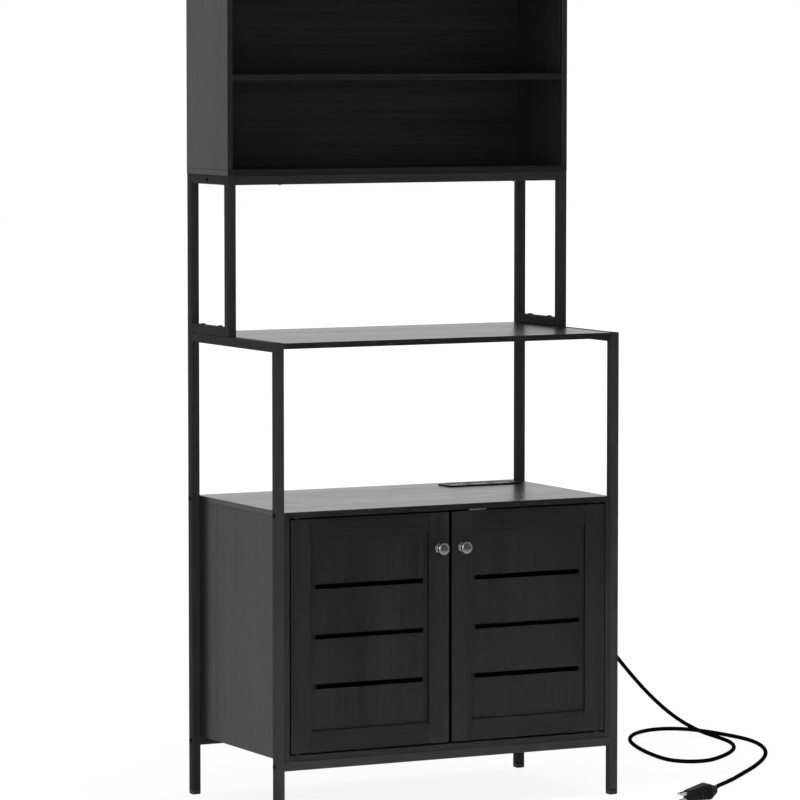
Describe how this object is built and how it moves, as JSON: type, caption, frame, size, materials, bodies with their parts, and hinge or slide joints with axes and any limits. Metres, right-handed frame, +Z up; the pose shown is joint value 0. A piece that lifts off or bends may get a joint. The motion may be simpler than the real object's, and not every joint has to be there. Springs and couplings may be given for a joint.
{
  "type": "coffee station cabinet",
  "caption": "Freestanding black coffee station: slotted-door cabinet, worktop with power strip, open shelf and shallow hutch on a square-tube frame.",
  "frame": {"origin": "on the floor, below the middle of the width and of the depth from the knobs to the rear face", "axes": "+X to the right as seen from the front, +Y from the doors to the back, +Z up"},
  "size_m": [1.4421, 0.8995, 1.714],
  "materials": {
    "frame_paint": "fine-textured black powder coat",
    "bolt_black": "blackened low-head bolts",
    "inner_steel": "plain steel, hidden inside the tubes",
    "zinc_steel": "zinc-plated steel",
    "moulded_black": "fine moulded texture",
    "board_black": "black laminate with a fine open wood grain",
    "door_black": "black laminate with a fine open wood grain",
    "back_black": "thin black board with a fine wood grain",
    "strip_plastic": "satin black",
    "cord_black": "smooth black jacket",
    "plated_brass": "nickel-washed brass",
    "bush_nylon": "black nylon",
    "knob_metal": "black nickel, turned"
  },
  "bodies": {
    "frame": {"bottom_rail_front": "frame_paint", "bottom_rail_rear": "frame_paint", "cabinet_back": "back_black", "cabinet_bottom": "board_black", "cabinet_side_left": "board_black", "cabinet_side_right": "board_black", "catch_poles": "zinc_steel", "cord_gland": "moulded_black", "foot_caps": "moulded_black", "frame_bolts": "bolt_black", "hutch_back": "back_black", "hutch_bolts": "bolt_black", "hutch_bottom": "board_black", "hutch_cross_rail_front": "frame_paint", "hutch_cross_rail_rear": "frame_paint", "hutch_posts_left": "frame_paint", "hutch_posts_right": "frame_paint", "hutch_rails_left": "frame_paint", "hutch_rails_right": "frame_paint", "hutch_screws": "zinc_steel", "hutch_shelf": "board_black", "hutch_side_left": "board_black", "hutch_side_right": "board_black", "hutch_top": "board_black", "inner_shelf": "board_black", "inner_shelf_pins": "zinc_steel", "leg_front_left": "frame_paint", "leg_front_right": "frame_paint", "leg_rear_left": "frame_paint", "leg_rear_right": "frame_paint", "magnetic_catches": "moulded_black", "mid_posts_left": "frame_paint", "mid_posts_right": "frame_paint", "mid_rail_left": "frame_paint", "mid_rail_right": "frame_paint", "mid_shelf": "board_black", "pivot_bushes": "bush_nylon", "plug_body": "moulded_black", "plug_pins": "plated_brass", "post_spigots": "inner_steel", "power_bezel": "strip_plastic", "power_cord": "cord_black", "power_housing": "moulded_black", "power_sockets": "strip_plastic", "rail_end_plugs": "inner_steel", "shelf_tabs": "frame_paint", "top_brackets": "zinc_steel", "worktop": "board_black"},
    "door_left": {"door_left_knob": "knob_metal", "door_left_panel": "door_black", "door_left_pivots": "zinc_steel", "door_left_rails": "door_black", "door_left_stiles": "door_black", "door_left_strike": "zinc_steel"},
    "door_right": {"door_right_knob": "knob_metal", "door_right_panel": "door_black", "door_right_pivots": "zinc_steel", "door_right_rails": "door_black", "door_right_stiles": "door_black", "door_right_strike": "zinc_steel"}
  },
  "joints": [
    {"name": "door_left_hinge", "type": "hinge", "parent": "frame", "child": "door_left", "pos_m": [-0.3505, -0.191, 0.379], "axis": [0, 0, -1], "range_deg": [0, 100]},
    {"name": "door_right_hinge", "type": "hinge", "parent": "frame", "child": "door_right", "pos_m": [0.3505, -0.191, 0.379], "axis": [0, 0, 1], "range_deg": [0, 100]}
  ]
}
